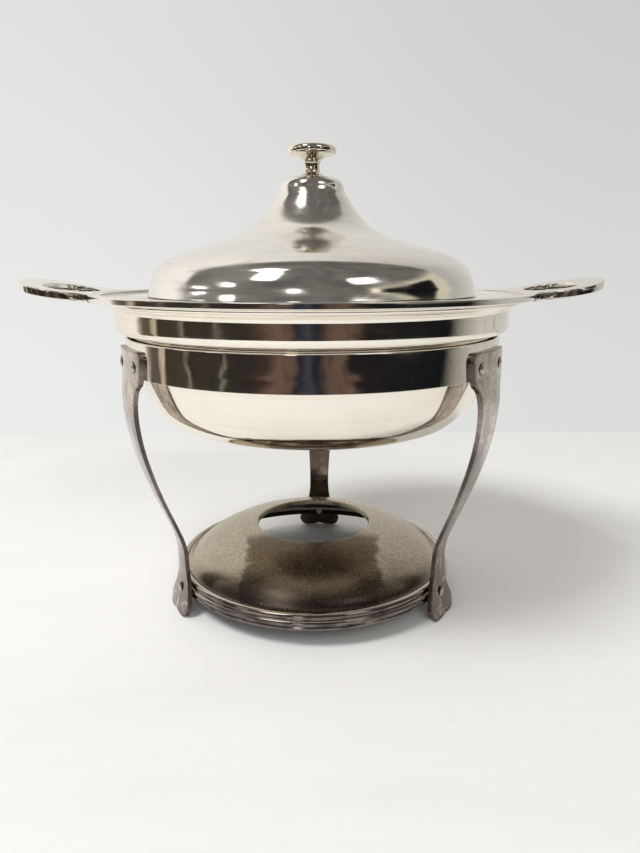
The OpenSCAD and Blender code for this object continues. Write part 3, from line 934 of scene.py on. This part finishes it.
# every place before any colour, so that no colour depends on the order of half-moved stops
for stop, (angle, _) in zip(stops, ROOM):
    stop.position = (angle + 180) / 360
for stop, (_, colour) in zip(stops, ROOM):
    stop.color = (*colour, 1)
strip = g.put("ShaderNodeCombineXYZ")
g.join(g.math("MULTIPLY", around, 0.05), strip.inputs[0])
g.join(g.math("MULTIPLY", up, 0.05), strip.inputs[1])
clutter = g.noise(strip.outputs[0], 3.0, 4.0, 0.65, 0.4)
shift = g.math("MULTIPLY_ADD", clutter, 0.034, -0.017)
# things in the room spread towards their feet, once in the collar's view and once in the ring's
SPREAD = 0.34
flare = g.math("ADD", g.ramp(up, -4.4, -7.0, 0.0, SPREAD), g.ramp(up, -7.0, -7.3, 0.0, -SPREAD))
flare = g.math("ADD", flare, g.ramp(up, -7.4, -11.2, 0.0, SPREAD))
ahead = g.math("MULTIPLY", g.ramp(around, -60, -30), g.ramp(around, 26, 50, 1.0, 0.0))
near = g.math("MULTIPLY", flare, ahead)
turned = g.math("DIVIDE", around, g.math("ADD", near, 0.92))
g.join(g.math("ADD", g.math("MULTIPLY_ADD", turned, 1 / 360, 0.5), shift), band.inputs[0])
low = g.mix(g.ramp(clutter, 0.52, 0.68, 0.0, 0.45), band.outputs[0], (0.020, 0.018, 0.018))
soft = g.noise(strip.outputs[0], 0.9, 2.0, 0.5)
ceiling = g.mix(g.ramp(soft, 0.3, 0.7), (0.115, 0.110, 0.102), (0.185, 0.178, 0.165))
# the ceiling is brighter round the lamps on the left
off_lamps = g.math("ABSOLUTE", g.math("ADD", around, 68))
ceiling = g.mix(g.ramp(off_lamps, 34, 8, 0.0, 0.35), ceiling, (0.34, 0.33, 0.30))
room = g.mix(g.ramp(up, 2.0, 13.0), low, ceiling)


def spot(colour, middle, half, tint, fade=0.25):
    """The colour with a round-cornered patch of tint over it; middle and half are (around, up) in
    degrees."""
    sides = [
        g.math("POWER", g.math("ABSOLUTE", g.math("DIVIDE", g.math("SUBTRACT", at, c), h)), 4.0)
        for at, c, h in zip((around, up), middle, half)
    ]
    return g.mix(g.ramp(g.math("ADD", *sides), 1 + fade * 4, 1.0 - fade), colour, tint)


def wedge(colour, start, end, middle, half, grow, tint, fade):
    """The colour with a wedge of tint over it from start to end degrees around, half degrees high
    either side of middle and widening by grow as it goes. It stops at the horizon."""
    off = g.math("ABSOLUTE", g.math("SUBTRACT", up, middle))
    reach = g.math("MULTIPLY_ADD", g.math("SUBTRACT", around, start), grow, half)
    inside = g.ramp(g.math("SUBTRACT", off, reach), fade, -fade)
    begun = g.ramp(around, start - fade, start + fade)
    ends = g.math("MULTIPLY", begun, g.ramp(around, end - fade, end + fade, 1.0, 0.0))
    return g.mix(g.math("MULTIPLY", g.math("MULTIPLY", inside, ends), g.ramp(up, -1.0, 3.0)), colour, tint)


# a doorway on the right: its warm surround and jamb, the dark opening, then the room's lamps
room = wedge(room, 40, 111, 12, 11, 0.20, (0.62, 0.58, 0.47), 5.0)
room = spot(room, (43, 14), (2.6, 6), (1.1, 0.98, 0.78))
room = wedge(room, 47, 94, 12, 7.0, 0.18, (0.006, 0.006, 0.008), 1.0)
for middle, half, glow in (
    ((-51, 64), (17, 7), 2.4),
    ((-40, 51), (10, 10), 2.4),
    ((-61, 26), (5, 2.4), 3.4),
    ((-82.5, 16.5), (5.5, 1.7), 3.4),
    ((-12, 15), (3.2, 6.0), 3.8),
    ((39, 39), (10, 7.0), 2.6),
):
    room = spot(room, middle, half, (glow, glow * 0.985, glow * 0.95))

# the pale wall behind the dish, far wider than the paper and 2.7 times as high as it is away
depth = g.math("MAXIMUM", dy, 0.001)
aside = g.math("DIVIDE", dx, depth)
rise = g.math("DIVIDE", dz, depth)
# what stands before it hides its sides at table height and less of them higher up
broad = g.math("MULTIPLY", g.ramp(aside, -9.0, -4.5), g.ramp(aside, 2.4, 3.8, 1.0, 0.0))
narrow = g.math("MULTIPLY", g.ramp(aside, -2.7, -2.1), g.ramp(aside, 0.95, 1.2, 1.0, 0.0))
above = g.ramp(up, 0.0, 7.0)
below = g.math("SUBTRACT", 1.0, above)
across = g.math("ADD", g.math("MULTIPLY", broad, above), g.math("MULTIPLY", narrow, below))
height = g.math("MULTIPLY", g.ramp(rise, 2.5, 3.0, 1.0, 0.0), g.ramp(dy, 0.0, 0.04))
board = g.math("MULTIPLY", across, height)
wall = g.mix(g.ramp(aside, -1.8, 2.2), (1.0, 0.975, 0.93), (0.46, 0.45, 0.425))
g.join(g.mix(board, room, wall), sky.inputs[0])
# the backdrop itself, with painted shade: a little darker to the right and upwards
left = g.mix(g.ramp(dz, -0.25, 0.5), (0.84, 0.84, 0.825), (0.755, 0.745, 0.735))
right = g.mix(g.ramp(dz, -0.25, 0.5), (0.715, 0.715, 0.705), (0.595, 0.585, 0.575))
g.join(g.mix(g.ramp(dx, -0.5, 0.5), left, right), plain.inputs[0])


DISH = Vector((0, 0, 0.1))


def soft_lamp(name, place, size, power):
    """A broad square lamp, aimed at the dish, that is left out of the mirror images."""
    lamp = bpy.data.lights.new(name, "AREA")
    lamp.shape = "RECTANGLE"
    lamp.size, lamp.size_y = size, size
    lamp.energy = power
    ob = bpy.data.objects.new(name, lamp)
    ob.location = place
    ob.rotation_euler = (ob.location - DISH).to_track_quat("Z", "Y").to_euler()
    ob.visible_glossy = False
    bpy.context.scene.collection.objects.link(ob)


soft_lamp("soft_key", (-1.4, -0.85, 2.55), 0.9, 50)
soft_lamp("front_fill", (0.3, -1.9, 1.4), 1.2, 11)

# the lens, place and tilt of the photograph's camera
cam_data = bpy.data.cameras.new("camera")
cam_data.sensor_fit = "AUTO"
cam_data.sensor_width = 36.0
cam_data.lens = 27.54
cam_data.clip_start, cam_data.clip_end = 0.01, 50
camera = bpy.data.objects.new("camera", cam_data)
bpy.context.scene.collection.objects.link(camera)
CAMERA_AT = (0.0020, -0.4537, 0.2270)
YAW, PITCH, ROLL = -0.376, -13.718, -0.13  # degrees
camera.matrix_world = (
    Matrix.Translation(CAMERA_AT)
    @ Matrix.Rotation(math.radians(YAW), 4, "Z")
    @ Matrix.Rotation(math.radians(90 + PITCH), 4, "X")
    @ Matrix.Rotation(math.radians(ROLL), 4, "Z")
)
bpy.context.scene.camera = camera
bpy.context.scene.view_settings.view_transform = "Standard"
bpy.context.scene.view_settings.look = "None"
